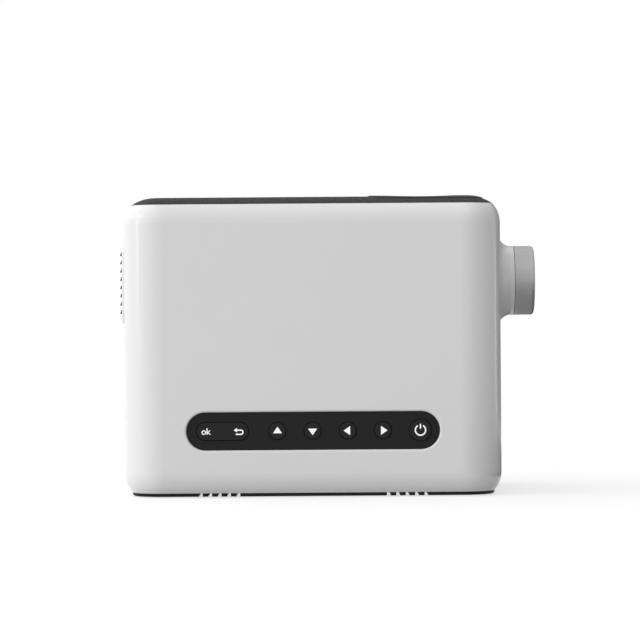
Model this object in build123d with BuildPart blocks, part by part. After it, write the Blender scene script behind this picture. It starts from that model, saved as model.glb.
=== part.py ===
from build123d import *
import math
import os

os.makedirs("parts", exist_ok=True)

# ---- driving dimensions, in millimetres ------------------------------------------------
# +X is the way the lens looks, -Y the side with the keys, z = 0 the soles of the feet.

# Body
length = 210.0          # along the lens direction
depth = 150.0           # from the key side to the disc side
corner_r = 22.0         # upright corners
edge_r = 16.0           # rounding of the white shell towards its top and bottom seams
seam_inset = 4.0        # seams lie this far inside the flat faces
wall = 2.5
lip = 2.0               # thickness of the turned-in rim at each seam
lip_inset = 8.0         # clear opening inside that rim, from the flat faces
base_z = 0.5            # underside of the base plate
shell_z0 = 2.4          # bottom seam
shell_z1 = 162.2        # top seam
crest_z = 166.4         # crown of the textured cover
cover_run = 13.0        # level distance from the top seam in to the crown
inlay_proud = 0.4       # the smooth inlay stands this far above the cover
plug_z = 3.6            # top of the base plate's locating plug

# Lens and focus ring
lens_z = 119.8
collar_d = 39.5
collar_front = 115.4    # from the middle of the body
collar_bore = 35.0
flare_r = 5.0
ring_front = 127.0
ring_bore = 30.4
barrel_d = 29.8
barrel_bore = 25.8
barrel_back = 78.0
barrel_front = 120.5
run_gap = 0.05          # radial clearance of a running fit
free_gap = 0.3          # clearance between parts that never touch

# Rear vent
vent_z = lens_z         # the vent is level with the lens
vent_w = 62.0
vent_h = 39.4
vent_frame_out = 107.6
slat_tip = 108.8
slat_count = 8
slat_pitch = 4.75

# Key panel
panel_len = 140.0
panel_h = 21.0
panel_z = 36.7
panel_drop = 1.2        # panel face below the shell's face
panel_edge_r = 1.2
key_proud = 0.25
key_groove = 0.35
round_key_d = 9.3
plunger_r = 1.4
power_key_d = 12.0
rocker_len = 28.6
rocker_h = 9.9
rocker_x = -50.0
arrow_x = {"up": -19.7, "down": -0.3, "left": 19.2, "right": 38.6}
power_x = 59.2
rocker_switch_x = 10.0  # each of its two switches from the rocker's pivot
switch_top = 67.0       # all Y values of the key stack are distances behind the middle
board_front = 63.0
plunger_end = 67.9
key_board_h = 18.6

# Disc drive
drive_w = 128.0
drive_z0 = 48.4
drive_h = 12.7
drive_back = -56.0
drive_front = 70.0
sheet = 0.8
tray_half = 61.4
tray_z0 = 50.0
tray_z1 = 57.8
tray_back = -54.0
tray_front = 70.4
well_r = 60.8
well_z = 55.6
spindle_y = 7.9
disc_seat_z = 57.0
bezel_w = 128.6
bezel_h = 13.0
slot_gap = 0.4
rail_in = 61.8
rail_t = 0.9
sled_angle = 225.0      # the pickup runs from the spindle towards the rear inner corner
sled_home = 21.0        # sled middle from the spindle, innermost
sled_len = 18.0
sled_w = 34.0
rod_v = 14.5
rod_d = 2.5
rod_z = 52.8
rod_u0 = 9.0
rod_len = 58.5
screw_v = 19.0
mid_deck_t = 2.0

# Ports
port_w = 104.0
port_h = 21.0
port_z = 24.0
board_z = 16.4          # underside of the main board
pcb = 1.6

# Remote control receiver, in the face beside the lens
receiver_y = -38.0
receiver_z = 30.0
receiver_r = 5.0

# Body middle, so that the whole part, from slat tips to ring front, is centred on x = 0
body_x = (slat_tip - ring_front) / 2


def deck(z, x=0.0, y=0.0):
    """Level plane at height z, seen from above; x and y run from the middle of the body."""
    return Plane(origin=(body_x + x, y, z), x_dir=(1, 0, 0), z_dir=(0, 0, 1))


def side(y, x=0.0, z=0.0):
    """Upright plane that faces the key side (-Y), with x to the right and z up."""
    return Plane(origin=(body_x + x, y, z), x_dir=(1, 0, 0), z_dir=(0, -1, 0))


def across(x, y=0.0, z=0.0):
    """Upright plane square to the lens axis that faces +X, with y to the right and z up."""
    return Plane(origin=(body_x + x, y, z), x_dir=(0, 1, 0), z_dir=(1, 0, 0))


lens_axis = Axis((body_x, 0, lens_z), (1, 0, 0))
lens_half = side(0, z=lens_z)   # profiles of the turned lens parts: x along the axis, y the radius

# ---- housing ---------------------------------------------------------------------------
# The white shell is a sleeve cut from a block with rounded edges at the two seams.
seam_rise = math.sqrt(edge_r**2 - (edge_r - seam_inset) ** 2)
block_z0 = shell_z0 - (edge_r - seam_rise)
block_z1 = shell_z1 + (edge_r - seam_rise)

with BuildPart() as hollow:
    with BuildSketch(deck(block_z0 + wall)):
        RectangleRounded(length - 2 * wall, depth - 2 * wall, corner_r - wall)
    extrude(amount=block_z1 - block_z0 - 2 * wall)
    fillet(hollow.faces().sort_by(Axis.Z)[0].edges(), edge_r - wall)
    fillet(hollow.faces().sort_by(Axis.Z)[-1].edges(), edge_r - wall)
    split(bisect_by=Plane.XY.offset(shell_z1 - lip), keep=Keep.BOTTOM)
    split(bisect_by=Plane.XY.offset(shell_z0 + lip), keep=Keep.TOP)

boss_r = 4.0
boss_x = 91.5
boss_y = 61.5
pilot_r = 1.3
counterbore_r = 2.9
counterbore = 1.4
opening_w = bezel_w + 2 * slot_gap
opening_h = bezel_h + 2 * slot_gap
bezel_z = drive_z0 + drive_h / 2

with BuildPart() as main_shell:
    with BuildSketch(deck(block_z0)):
        RectangleRounded(length, depth, corner_r)
    extrude(amount=block_z1 - block_z0)
    fillet(main_shell.faces().sort_by(Axis.Z)[0].edges(), edge_r)
    fillet(main_shell.faces().sort_by(Axis.Z)[-1].edges(), edge_r)
    # lens collar with its flare
    with BuildSketch(across(length / 2 - wall, z=lens_z)):
        Circle(collar_d / 2)
    extrude(amount=collar_front - length / 2 + wall)
    flare = main_shell.edges().filter_by(GeomType.CIRCLE).filter_by(
        lambda edge: abs(edge.radius - collar_d / 2) < 0.01).sort_by(Axis.X)[0]
    fillet(flare, flare_r)
    # raised frame round the rear vent
    with BuildSketch(across(-vent_frame_out, z=vent_z)):
        RectangleRounded(vent_w + 8, vent_h + 8, 8)
    extrude(amount=vent_frame_out - length / 2 + wall)
    fillet(main_shell.faces().sort_by(Axis.X)[0].edges(), 1.5)
    # hollow inside and the two seam openings
    add(hollow.part, mode=Mode.SUBTRACT)
    with BuildSketch(deck(block_z0)):
        RectangleRounded(length - 2 * lip_inset, depth - 2 * lip_inset, corner_r - lip_inset)
    extrude(amount=block_z1 - block_z0, mode=Mode.SUBTRACT)
    split(bisect_by=Plane.XY.offset(shell_z1), keep=Keep.BOTTOM)
    split(bisect_by=Plane.XY.offset(shell_z0), keep=Keep.TOP)
    # bore for the focus ring's sleeve
    with BuildSketch(across(length / 2 - 2 * wall, z=lens_z)):
        Circle(collar_bore / 2)
    extrude(amount=2 * flare_r + 2 * wall + 1, mode=Mode.SUBTRACT)
    # rear vent, port opening, tray slot and receiver window
    with BuildSketch(across(-vent_frame_out - 1, z=vent_z)):
        RectangleRounded(vent_w, vent_h, 2)
    extrude(amount=3 * wall, mode=Mode.SUBTRACT)
    with BuildSketch(across(-length / 2 - 1, z=port_z)):
        RectangleRounded(port_w + 0.4, port_h + 0.4, 4)
    extrude(amount=2 * wall, mode=Mode.SUBTRACT)
    with BuildSketch(side(depth / 2 + 1, z=bezel_z)):
        RectangleRounded(opening_w, opening_h, 1.4)
    extrude(amount=2 * wall, mode=Mode.SUBTRACT)
    with BuildSketch(across(length / 2 + 1, y=receiver_y, z=receiver_z)):
        Circle(receiver_r)
    extrude(amount=-2 * wall, mode=Mode.SUBTRACT)
    # key panel opening with its rounded edge
    with BuildSketch(side(-depth / 2, z=panel_z)):
        SlotOverall(panel_len, panel_h)
    extrude(amount=-2 * wall, mode=Mode.SUBTRACT)
    panel_edge = main_shell.edges().filter_by_position(
        Axis.Y, -depth / 2 - 0.01, -depth / 2 + 0.01).filter_by_position(
        Axis.Z, panel_z - panel_h, panel_z + panel_h)
    fillet(panel_edge, panel_edge_r)
    # screw bosses in the four corners, each with a web to the wall
    with BuildSketch(deck(plug_z + 0.2)):
        with GridLocations(2 * boss_x, 2 * boss_y, 2, 2):
            Circle(boss_r)
        for sx in (-1, 1):
            for sy in (-1, 1):
                with Locations(Location((sx * (boss_x + 2), sy * (boss_y + 2), 0), sx * sy * 45)):
                    Rectangle(5, 1.6)
    extrude(amount=18)
    with BuildSketch(deck(plug_z)):
        with GridLocations(2 * boss_x, 2 * boss_y, 2, 2):
            Circle(pilot_r)
    extrude(amount=13, mode=Mode.SUBTRACT)

# The black cover carries the shell's curve on, with a larger radius, up to its crown.
cover_rise = crest_z - shell_z1
cap_r = (cover_run**2 + cover_rise**2) / (2 * cover_rise)
cap_grow = cap_r - cover_run - seam_inset


def cap(crown_z):
    """Block with the cover's wide rounding round its crown, which lies at crown_z."""
    with BuildPart() as block:
        with BuildSketch(deck(crown_z - cap_r - 1)):
            RectangleRounded(length + 2 * cap_grow, depth + 2 * cap_grow, corner_r + cap_grow)
        extrude(amount=cap_r + 1)
        fillet(block.faces().sort_by(Axis.Z)[-1].edges(), cap_r)
    return block


inlay_x0 = 31.5
inlay_x1 = 95.2
inlay_half = 65.2
inlay_floor = 163.6

with BuildPart() as inlay_block:
    with BuildSketch(deck(inlay_floor, x=(inlay_x0 + inlay_x1) / 2)):
        RectangleRounded(inlay_x1 - inlay_x0, 2 * inlay_half, 11)
    extrude(amount=crest_z + 1 - inlay_floor)

with BuildPart() as top_cover:
    add(cap(crest_z).part)
    split(bisect_by=Plane.XY.offset(shell_z1), keep=Keep.TOP)
    add(inlay_block.part, mode=Mode.SUBTRACT)
    # locating rim and snap hooks under it
    with BuildSketch(deck(shell_z1 - lip - 1.5)):
        RectangleRounded(length - 2 * lip_inset - 0.6, depth - 2 * lip_inset - 0.6, corner_r - lip_inset)
        offset(amount=-1.6, mode=Mode.SUBTRACT)
    extrude(amount=lip + 1.5)
    with BuildSketch(deck(shell_z1 - lip - 1.5)):
        with GridLocations(120, depth - 2 * lip_inset - 1.6, 2, 2):
            Rectangle(12, 2.6)
    extrude(amount=0.9)

dish_span = 41.0
dish_drop = 0.65
dish_x = 60.5
dish_r = dish_span**2 / 8 / dish_drop

with BuildPart() as top_inlay:
    add(inlay_block.part)
    add(cap(crest_z + inlay_proud).part, mode=Mode.INTERSECT)
    # shallow dish across the whole width
    with BuildSketch(side(inlay_half + 1, x=dish_x, z=crest_z + inlay_proud - dish_drop + dish_r)):
        Circle(dish_r)
    extrude(amount=2 * inlay_half + 2, mode=Mode.SUBTRACT)

foot_x = 78.0
foot_y = 48.0
foot_r = 8.0
leg_x = 82.0
leg_y = 56.0
tripod_r = 5.0
speaker_x = 52.0
speaker_y = -45.0
air_slot_y = 50.7
air_slot_len = 42.0
air_slot_w = 2.2
air_slot_pitch = 5.2
board_spots = [(x, y) for x in (-86, -15, 15, 87) for y in (-8, 46)]
board_hole_r = 1.2

with BuildPart() as base_plate:
    with BuildSketch(deck(base_z)):
        RectangleRounded(length - 2 * seam_inset, depth - 2 * seam_inset, corner_r - seam_inset)
    extrude(amount=shell_z0 - base_z)
    fillet(base_plate.faces().sort_by(Axis.Z)[0].edges(), 1.5)
    with BuildSketch(deck(shell_z0)):
        RectangleRounded(length - 2 * lip_inset - 0.6, depth - 2 * lip_inset - 0.6, corner_r - lip_inset)
    extrude(amount=plug_z - shell_z0)
    # board posts and the boss round the tripod insert
    with BuildSketch(deck(plug_z)):
        with Locations(*board_spots):
            Circle(2.6)
    extrude(amount=board_z - plug_z)
    with BuildSketch(deck(plug_z)):
        Circle(tripod_r + 3)
    extrude(amount=7)
    # sound and air slots, which notch the rim under the key side
    for x in (-speaker_x, speaker_x):
        with BuildSketch(deck(base_z, x=x)):
            with GridLocations(air_slot_pitch, 2 * air_slot_y, 5, 2):
                SlotOverall(air_slot_len, air_slot_w, rotation=90)
        extrude(amount=plug_z - base_z, mode=Mode.SUBTRACT)
    # seats of the feet, counterbored screw holes and the tripod bore
    with BuildSketch(deck(base_z)):
        with GridLocations(2 * foot_x, 2 * foot_y, 2, 2):
            Circle(foot_r)
    extrude(amount=0.6, mode=Mode.SUBTRACT)
    with BuildSketch(deck(base_z)):
        with GridLocations(2 * boss_x, 2 * boss_y, 2, 2):
            Circle(counterbore_r)
    extrude(amount=counterbore, mode=Mode.SUBTRACT)
    with BuildSketch(deck(base_z)):
        with GridLocations(2 * boss_x, 2 * boss_y, 2, 2):
            Circle(pilot_r + 0.1)
        Circle(tripod_r)
    extrude(amount=12, mode=Mode.SUBTRACT)

with BuildPart() as rubber_feet:
    with BuildSketch(deck(0)):
        with GridLocations(2 * foot_x, 2 * foot_y, 2, 2):
            Circle(foot_r)
    extrude(amount=base_z + 0.6)
    fillet(rubber_feet.faces().filter_by(Plane.XY).group_by(Axis.Z)[0].edges(), 0.3)

# Brass insert with the 1/4 inch camera thread, cut at the thread's minor diameter
tripod_minor_r = 2.55
with BuildPart() as tripod_insert:
    with BuildSketch(deck(base_z)):
        Circle(tripod_r)
        Circle(tripod_minor_r, mode=Mode.SUBTRACT)
    extrude(amount=plug_z + 7 - base_z)


def pan_screws(spots, head_r, head_h, shank_r, shank_len, plane):
    """A group of like pan-head screws: heads stand on the plane's front, shanks run behind it."""
    with BuildPart() as group:
        with BuildSketch(plane):
            with Locations(*spots):
                Circle(head_r)
        extrude(amount=head_h)
        fillet(group.faces().filter_by(lambda face: face.normal_at().dot(plane.z_dir) > 0.99).edges(),
               head_h * 0.4)
        with BuildSketch(plane):
            with Locations(*spots):
                Circle(shank_r)
        extrude(amount=-shank_len)
        with BuildSketch(plane.offset(head_h)):
            with Locations(*spots):
                Rectangle(head_r * 1.1, head_r * 0.24)
                Rectangle(head_r * 0.24, head_r * 1.1)
        extrude(amount=-head_h * 0.55, mode=Mode.SUBTRACT)
    return group


corner_spots = [(sx * boss_x, sy * boss_y) for sx in (-1, 1) for sy in (-1, 1)]
under_base = Plane(origin=(body_x, 0, base_z + counterbore), x_dir=(1, 0, 0), z_dir=(0, 0, -1))
base_screws = pan_screws(corner_spots, 2.6, 1.3, pilot_r, 12, under_base)

# ---- rear vent -------------------------------------------------------------------------
# Eight slats stand out of the frame. Each lower one is a little shorter and more upright.
slat_t = 1.0
with BuildPart() as rear_louvre:
    for i in range(slat_count):
        z = vent_z + (slat_count - 1) / 2 * slat_pitch - i * slat_pitch
        tall = 3.0 - 0.1 * i
        lean = 1.3 - 0.08 * i
        with BuildSketch(side(-vent_w / 2 + 0.2, z=z)):
            with BuildLine():
                Polyline(
                    (-slat_tip, -tall / 2),
                    (-slat_tip + lean, tall / 2),
                    (-slat_tip + lean + slat_t, tall / 2),
                    (-length / 2 + wall, 0.6),
                    (-length / 2 + wall, -0.6),
                    (-slat_tip + slat_t, -tall / 2),
                    close=True,
                )
            make_face()
        extrude(amount=-vent_w + 0.4)
    # side rails and a middle rib that carry the slats
    with BuildSketch(across(-length / 2 - 1.2, z=vent_z)):
        RectangleRounded(vent_w, vent_h, 2)
        RectangleRounded(vent_w - 3.2, vent_h - 1.6, 1.2, mode=Mode.SUBTRACT)
        Rectangle(1.6, vent_h)
    extrude(amount=wall + 1.2)

with BuildPart() as dust_filter:
    with BuildSketch(across(-length / 2 + wall, z=vent_z)):
        RectangleRounded(vent_w + 6, vent_h + 6, 5)
    extrude(amount=3)

# ---- key panel, keys and their board ---------------------------------------------------
panel_face = -(depth / 2 - panel_drop)
panel_mid = -(depth / 2 - wall)
panel_back = panel_mid + 1.5
key_face = panel_face - key_proud
pivot_y = panel_back + 1.4
pivot_r = 0.8

round_keys = {"key_" + name: (x, round_key_d) for name, x in arrow_x.items()}
round_keys["key_power"] = (power_x, power_key_d)

with BuildPart() as control_panel:
    with BuildSketch(side(panel_face, z=panel_z)):
        SlotOverall(panel_len, panel_h)
    extrude(amount=panel_face - panel_mid)
    with BuildSketch(side(panel_mid, z=panel_z)):
        SlotOverall(panel_len + 6, panel_h + 6)
    extrude(amount=panel_mid - panel_back)
    with BuildSketch(side(panel_face, z=panel_z)):
        for x, d in round_keys.values():
            with Locations((x, 0)):
                Circle(d / 2 + key_groove)
        with Locations((rocker_x, 0)):
            SlotOverall(rocker_len + 2 * key_groove, rocker_h + 2 * key_groove)
    extrude(amount=panel_face - panel_back - 1, mode=Mode.SUBTRACT)
    # two ears behind the panel that hold the rocker's pivot
    with BuildSketch(side(panel_back, x=rocker_x, z=panel_z)):
        with GridLocations(0, 2 * 6.5, 1, 2):
            Rectangle(5, 1.6)
    extrude(amount=-3.2)
    with BuildSketch(deck(panel_z - 8, x=rocker_x, y=pivot_y)):
        Circle(pivot_r + run_gap)
    extrude(amount=16, mode=Mode.SUBTRACT)


def round_key(x, d):
    """A push key: cap, retaining flange behind the panel and plunger towards its switch."""
    flange = panel_back + free_gap
    with BuildPart() as key:
        with BuildSketch(side(key_face, x=x, z=panel_z)):
            Circle(d / 2)
        extrude(amount=key_face - flange)
        fillet(key.faces().sort_by(Axis.Y)[0].edges(), 0.4)
        with BuildSketch(side(flange, x=x, z=panel_z)):
            Circle(d / 2 + 1.0)
        extrude(amount=-0.8)
        with BuildSketch(side(flange + 0.8, x=x, z=panel_z)):
            Circle(plunger_r)
        extrude(amount=flange + 0.8 + plunger_end)
    return key


keys = {name: round_key(x, d) for name, (x, d) in round_keys.items()}

with BuildPart() as key_ok_back:
    with BuildSketch(side(key_face, x=rocker_x, z=panel_z)):
        SlotOverall(rocker_len, rocker_h)
    extrude(amount=key_face - panel_back)
    fillet(key_ok_back.faces().sort_by(Axis.Y)[0].edges(), 0.4)
    with BuildSketch(side(panel_back, x=rocker_x, z=panel_z)):
        Rectangle(rocker_len - 5, rocker_h - 1.2)
    extrude(amount=-2.0)
    with BuildSketch(side(panel_back + 2.0, x=rocker_x, z=panel_z)):
        with GridLocations(2 * rocker_switch_x, 0, 2, 1):
            Circle(plunger_r)
    extrude(amount=panel_back + 2.0 + plunger_end)
    with BuildSketch(deck(panel_z - 7.1, x=rocker_x, y=pivot_y)):
        Circle(pivot_r)
    extrude(amount=14.2)

switch_spots = [(rocker_x - rocker_switch_x, 0), (rocker_x + rocker_switch_x, 0)]
switch_spots += [(x, 0) for x, d in round_keys.values()]

with BuildPart() as key_switches:
    with BuildSketch(side(-switch_top + 0.5, z=panel_z)):
        with Locations(*switch_spots):
            RectangleRounded(6, 6, 0.5)
    extrude(amount=board_front + 0.5 - switch_top)
    with BuildSketch(side(-switch_top, z=panel_z)):
        with Locations(*switch_spots):
            Circle(1.7)
    extrude(amount=-0.5)

with BuildPart() as key_board:
    with BuildSketch(side(-board_front, z=panel_z)):
        RectangleRounded(146, key_board_h, 2)
    extrude(amount=-pcb)
    # four pillars that hold the board to the panel's flange
    with BuildSketch(side(panel_back, z=panel_z)):
        with GridLocations(130, key_board_h - 4.2, 2, 2):
            Circle(1.8)
    extrude(amount=panel_back + board_front)

# ---- disc drive ------------------------------------------------------------------------
drive_screw_spots = [(sx * 40, sy * 45) for sx in (-1, 1) for sy in (-1, 1)]
drive_screw_r = 0.9
drive_hole_r = 0.95

with BuildPart() as mid_deck:
    with BuildSketch(deck(drive_z0 - mid_deck_t)):
        RectangleRounded(length - 14, depth - 14, 12)
        with Locations((-speaker_x, 0), (speaker_x, 0)):
            RectangleRounded(70, 60, 4, mode=Mode.SUBTRACT)
        with Locations(*drive_screw_spots):
            Circle(drive_hole_r, mode=Mode.SUBTRACT)
    extrude(amount=mid_deck_t)
    with BuildSketch(deck(plug_z)):
        with GridLocations(2 * leg_x, 2 * leg_y, 2, 2):
            Circle(3.5)
    extrude(amount=drive_z0 - mid_deck_t - plug_z)

with BuildPart() as drive_case:
    with BuildSketch(side(drive_front, z=bezel_z)):
        Rectangle(drive_w, drive_h)
    extrude(amount=drive_front - drive_back)
    with BuildSketch(side(drive_front, z=bezel_z)):
        Rectangle(drive_w - 2 * sheet, drive_h - 2 * sheet)
    extrude(amount=drive_front - drive_back - sheet, mode=Mode.SUBTRACT)
    # side windows that the folded sheet leaves open
    with BuildSketch(across(-drive_w / 2 - 1, y=0, z=bezel_z)):
        with GridLocations(40, 0, 3, 1):
            RectangleRounded(24, 5, 2)
    extrude(amount=drive_w + 2, mode=Mode.SUBTRACT)
    with BuildSketch(deck(drive_z0)):
        with Locations(*drive_screw_spots):
            Circle(drive_hole_r)
    extrude(amount=sheet, mode=Mode.SUBTRACT)

with BuildPart() as slide_rails:
    for sx in (-1, 1):
        with BuildSketch(deck(51.2, x=sx * (rail_in + rail_t / 2), y=(tray_back + tray_front) / 2 + 1)):
            Rectangle(rail_t, tray_front - tray_back - 4)
        extrude(amount=6.2)

sled_dir = (math.cos(math.radians(sled_angle)), math.sin(math.radians(sled_angle)), 0)


def sled_plane(z, u=0.0):
    """Level plane along the pickup's run: x out from the spindle by u, y across it."""
    middle = (body_x + u * sled_dir[0], spindle_y + u * sled_dir[1], z)
    return Plane(origin=middle, x_dir=sled_dir, z_dir=(0, 0, 1))


def sled_face(u, v):
    """Upright plane square to the pickup's run at the rods' height, u out from the spindle."""
    middle = sled_plane(rod_z).from_local_coords((u, v, 0))
    return Plane(origin=middle, x_dir=(0, 0, 1), z_dir=sled_dir)


window_u0 = 11.5
window_u1 = 64.5
window_v = 20.6
motor_r = 10.5
sled_motor_r = 2.7

with BuildPart() as disc_tray:
    with BuildSketch(deck(tray_z0, y=(tray_back + tray_front) / 2)):
        RectangleRounded(2 * tray_half, tray_front - tray_back, 3)
    extrude(amount=tray_z1 - tray_z0)
    # disc well with a finger dip at its rim
    with BuildSketch(deck(well_z, y=spindle_y)):
        Circle(well_r)
    extrude(amount=tray_z1 - well_z, mode=Mode.SUBTRACT)
    fillet(disc_tray.edges().filter_by(GeomType.CIRCLE).filter_by(
        lambda edge: abs(edge.radius - well_r) < 0.01).group_by(Axis.Z)[0], 0.8)
    with BuildSketch(deck(well_z - 1.6, x=40, y=spindle_y + 36)):
        SlotOverall(26, 12, rotation=-45)
    extrude(amount=3, mode=Mode.SUBTRACT)
    # spindle hole and the window that the pickup runs in
    with BuildSketch(deck(tray_z0, y=spindle_y)):
        Circle(motor_r + 4.5)
    extrude(amount=tray_z1 - tray_z0, mode=Mode.SUBTRACT)
    with BuildSketch(sled_plane(tray_z0)):
        with Locations(((window_u0 + window_u1) / 2, 0)):
            Rectangle(window_u1 - window_u0, 2 * window_v)
        with Locations((6, screw_v)):
            Rectangle(12, 2 * sled_motor_r)
    extrude(amount=tray_z1 - tray_z0, mode=Mode.SUBTRACT)
    # grooves for the guide rods' ends
    for v in (-rod_v, rod_v):
        with BuildSketch(sled_face(rod_u0, v)):
            Circle(rod_d / 2)
        extrude(amount=rod_len, mode=Mode.SUBTRACT)
    # weight-saving pockets from below
    with BuildSketch(deck(tray_z0, y=spindle_y)):
        with Locations((38, 30), (38, -30), (-38, 38)):
            RectangleRounded(30, 28, 5)
    extrude(amount=3.6, mode=Mode.SUBTRACT)

with BuildPart() as guide_rods:
    for v in (-rod_v, rod_v):
        with BuildSketch(sled_face(rod_u0, v)):
            Circle(rod_d / 2)
        extrude(amount=rod_len)

with BuildPart() as spindle_motor:
    with BuildSketch(deck(tray_z0 + 0.3, y=spindle_y)):
        Circle(motor_r)
    extrude(amount=5.2)
    # base plate that ties the motor to the tray, with its shaft bore
    with BuildSketch(deck(tray_z0 + 0.3, y=spindle_y)):
        Circle(motor_r + 4.5)
    extrude(amount=0.8)
    with BuildSketch(deck(tray_z0, y=spindle_y)):
        Circle(1.0 + run_gap)
    extrude(amount=8, mode=Mode.SUBTRACT)
    with BuildSketch(sled_plane(tray_z0)):
        with Locations((window_u0 + 10, 0)):
            Rectangle(20, 2 * window_v)
    extrude(amount=1.2, mode=Mode.SUBTRACT)

with BuildPart() as turntable:
    with BuildSketch(side(spindle_y)):
        with BuildLine():
            Polyline(
                (0, tray_z0 + 0.7),
                (1.0, tray_z0 + 0.7),
                (1.0, well_z + 0.3),
                (14.5, well_z + 0.3),
                (14.5, disc_seat_z),
                (7.4, disc_seat_z),
                (7.4, disc_seat_z + 1.6),
                (6.0, disc_seat_z + 2.6),
                (0, disc_seat_z + 2.6),
                close=True,
            )
        make_face()
    revolve(axis=Axis((body_x, spindle_y, 0), (0, 0, 1)))

with BuildPart() as pickup_sled:
    with BuildSketch(sled_plane(tray_z0 + 0.5, u=sled_home)):
        RectangleRounded(sled_len, sled_w, 2)
    extrude(amount=4.9)
    for v in (-rod_v, rod_v):
        with BuildSketch(sled_face(0, v)):
            Circle(rod_d / 2 + run_gap)
        extrude(amount=80, mode=Mode.SUBTRACT)
    # raised guard round the objective lens
    with BuildSketch(sled_plane(tray_z0 + 5.4, u=sled_home + 3)):
        RectangleRounded(11, 14, 1.5)
        Circle(3.2, mode=Mode.SUBTRACT)
    extrude(amount=0.6)
    with BuildSketch(sled_plane(tray_z0 + 4.4, u=sled_home + 3)):
        Circle(3.2)
    extrude(amount=1.0, mode=Mode.SUBTRACT)

with BuildPart() as pickup_lens:
    with BuildSketch(sled_plane(tray_z0 + 4.4, u=sled_home + 3)):
        Circle(3.0)
    extrude(amount=0.9)
    fillet(pickup_lens.faces().sort_by(Axis.Z)[-1].edges(), 0.4)

screw_start = 10.8
with BuildPart() as lead_screw:
    with BuildSketch(sled_face(screw_start, screw_v)):
        Circle(1.0)
    extrude(amount=window_u1 - screw_start - 1)

with BuildPart() as sled_motor:
    with BuildSketch(sled_face(1.5, screw_v)):
        Circle(sled_motor_r)
    extrude(amount=9)

button_x = 40.0
with BuildPart() as tray_bezel:
    with BuildSketch(side(depth / 2, z=bezel_z)):
        RectangleRounded(bezel_w, bezel_h, 1.2)
    extrude(amount=depth / 2 - tray_front)
    fillet(tray_bezel.faces().sort_by(Axis.Y)[-1].edges(), 0.6)
    with BuildSketch(side(depth / 2, x=button_x, z=bezel_z)):
        RectangleRounded(8.4, 4.0, 1.2)
    extrude(amount=depth / 2 - tray_front, mode=Mode.SUBTRACT)
    # emergency release hole
    with BuildSketch(side(depth / 2, x=button_x - 14, z=bezel_z)):
        Circle(0.6)
    extrude(amount=depth / 2 - tray_front, mode=Mode.SUBTRACT)

with BuildPart() as eject_button:
    with BuildSketch(side(depth / 2, x=button_x, z=bezel_z)):
        RectangleRounded(7.6, 3.2, 0.9)
    extrude(amount=3.0)
    fillet(eject_button.faces().sort_by(Axis.Y)[-1].edges(), 0.3)

# ---- lens ------------------------------------------------------------------------------
with BuildPart() as focus_ring:
    with BuildSketch(lens_half):
        with BuildLine():
            Polyline(
                (length / 2 - 1.5, ring_bore / 2),
                (length / 2 - 1.5, collar_bore / 2 - run_gap),
                (collar_front + free_gap, collar_bore / 2 - run_gap),
                (collar_front + free_gap, collar_d / 2),
                (ring_front, collar_d / 2),
                (ring_front, ring_bore / 2 + 2.6),
                (ring_front - 5.5, ring_bore / 2),
                close=True,
            )
        make_face()
    revolve(axis=lens_axis)
    rim = focus_ring.edges().filter_by(GeomType.CIRCLE).filter_by_position(
        Axis.X, body_x + ring_front - 0.01, body_x + ring_front + 0.01).sort_by(SortBy.RADIUS)
    fillet(rim[-1], 1.8)
    fillet(rim[0], 0.5)

with BuildPart() as lens_mount:
    with BuildSketch(across(84, z=lens_z)):
        RectangleRounded(60, 60, 6)
    extrude(amount=3)
    with BuildSketch(across(84, z=lens_z)):
        Circle(17)
    extrude(amount=18.4)
    with BuildSketch(across(83, z=lens_z)):
        Circle(barrel_d / 2 + run_gap)
    extrude(amount=22, mode=Mode.SUBTRACT)
    # four ribs from the tube to the flange corners
    with BuildSketch(across(87, z=lens_z)):
        with PolarLocations(20.5, 4, 45):
            Rectangle(9, 2.4)
    extrude(amount=9)

with BuildPart() as lens_barrel:
    with BuildSketch(lens_half):
        with BuildLine():
            Polyline(
                (barrel_back, barrel_bore / 2),
                (barrel_back, barrel_d / 2),
                (barrel_front, barrel_d / 2),
                (barrel_front, barrel_bore / 2 + 1.2),
                (barrel_front - 2, barrel_bore / 2),
                close=True,
            )
        make_face()
    revolve(axis=lens_axis)
    # retaining step between the two elements
    with BuildSketch(across(92, z=lens_z)):
        Circle(barrel_bore / 2)
        Circle(barrel_bore / 2 - 1.4, mode=Mode.SUBTRACT)
    extrude(amount=16)


def dome(x, r, bulge):
    """Arc of a spherical lens face: from its rim (x, r) to its pole on the axis, bulge away."""
    ball = (r**2 + bulge**2) / (2 * abs(bulge))
    half = math.asin(r / ball) / 2
    rise = abs(bulge) - ball * (1 - math.cos(half))
    return (x, r), (x + math.copysign(rise, bulge), ball * math.sin(half)), (x + bulge, 0)


def lens_element(x0, thick, bulge_back, bulge_front):
    """A turned glass element: rim from x0, with a spherical face at each end."""
    r = barrel_bore / 2
    with BuildPart() as element:
        with BuildSketch(lens_half):
            with BuildLine():
                ThreePointArc(*dome(x0, r, -bulge_back))
                Line((x0 - bulge_back, 0), (x0 + thick + bulge_front, 0))
                ThreePointArc(*dome(x0 + thick, r, bulge_front))
                Line((x0 + thick, r), (x0, r))
            make_face()
        revolve(axis=lens_axis)
    return element


front_lens = lens_element(108.4, 4.0, 1.2, 3.4)
rear_lens = lens_element(86.0, 3.5, 2.6, 2.0)

# ---- light engine ----------------------------------------------------------------------
engine_x0 = -46.0
panel_x0 = -10.0
panel_x1 = 4.0
engine_x1 = 84.0
tunnel_w = 104.0
tunnel_h = 76.0
cradle_z = lens_z - tunnel_h / 2
engine_spots = [((panel_x0 + panel_x1) / 2, sy * (tunnel_w / 2 + 4)) for sy in (-1, 1)]


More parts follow.
